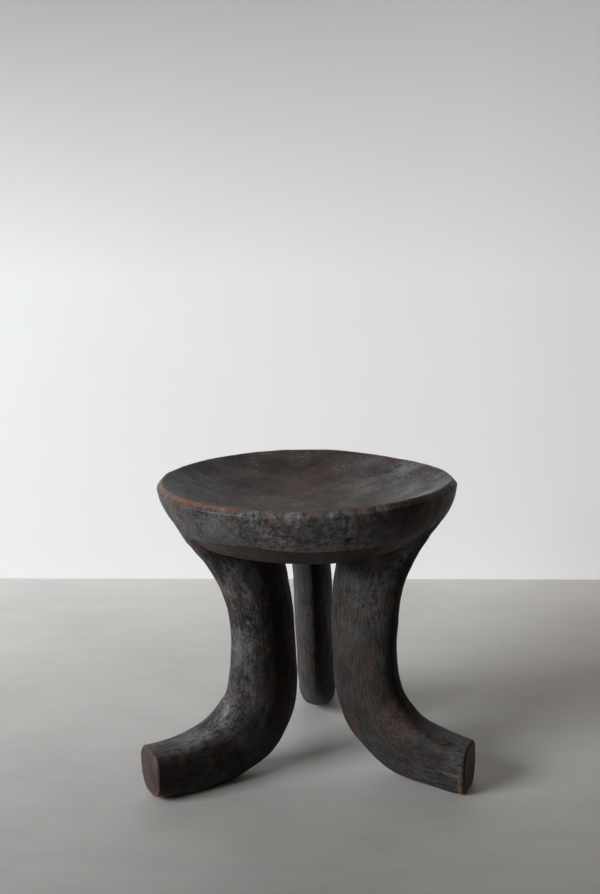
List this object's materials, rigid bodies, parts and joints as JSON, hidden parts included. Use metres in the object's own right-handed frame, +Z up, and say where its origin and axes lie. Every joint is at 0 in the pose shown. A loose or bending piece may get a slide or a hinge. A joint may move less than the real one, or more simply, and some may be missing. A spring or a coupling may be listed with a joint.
{
  "type": "three-legged stool",
  "caption": "Low round stool hewn from one block of dark hardwood, with a dished seat and legs that sweep out into long flat-ended feet.",
  "frame": {"origin": "on the floor, under the middle of the whole stool's outline", "axes": "+Z up; +Y back along the rear leg; +X to the right, towards the right front foot"},
  "size_m": [0.3698, 0.3702, 0.338],
  "materials": {
    "seat_wood": "dark hand-rubbed patina, worn red-brown along the rim and smoothed in the dish",
    "leg_wood": "brown-black smoked patina over tool marks, with a dull blue-grey sheen where hands have polished it"
  },
  "bodies": {
    "root": {"seat": "seat_wood", "left_front_leg": "leg_wood", "right_front_leg": "leg_wood", "rear_leg": "leg_wood"}
  },
  "joints": []
}
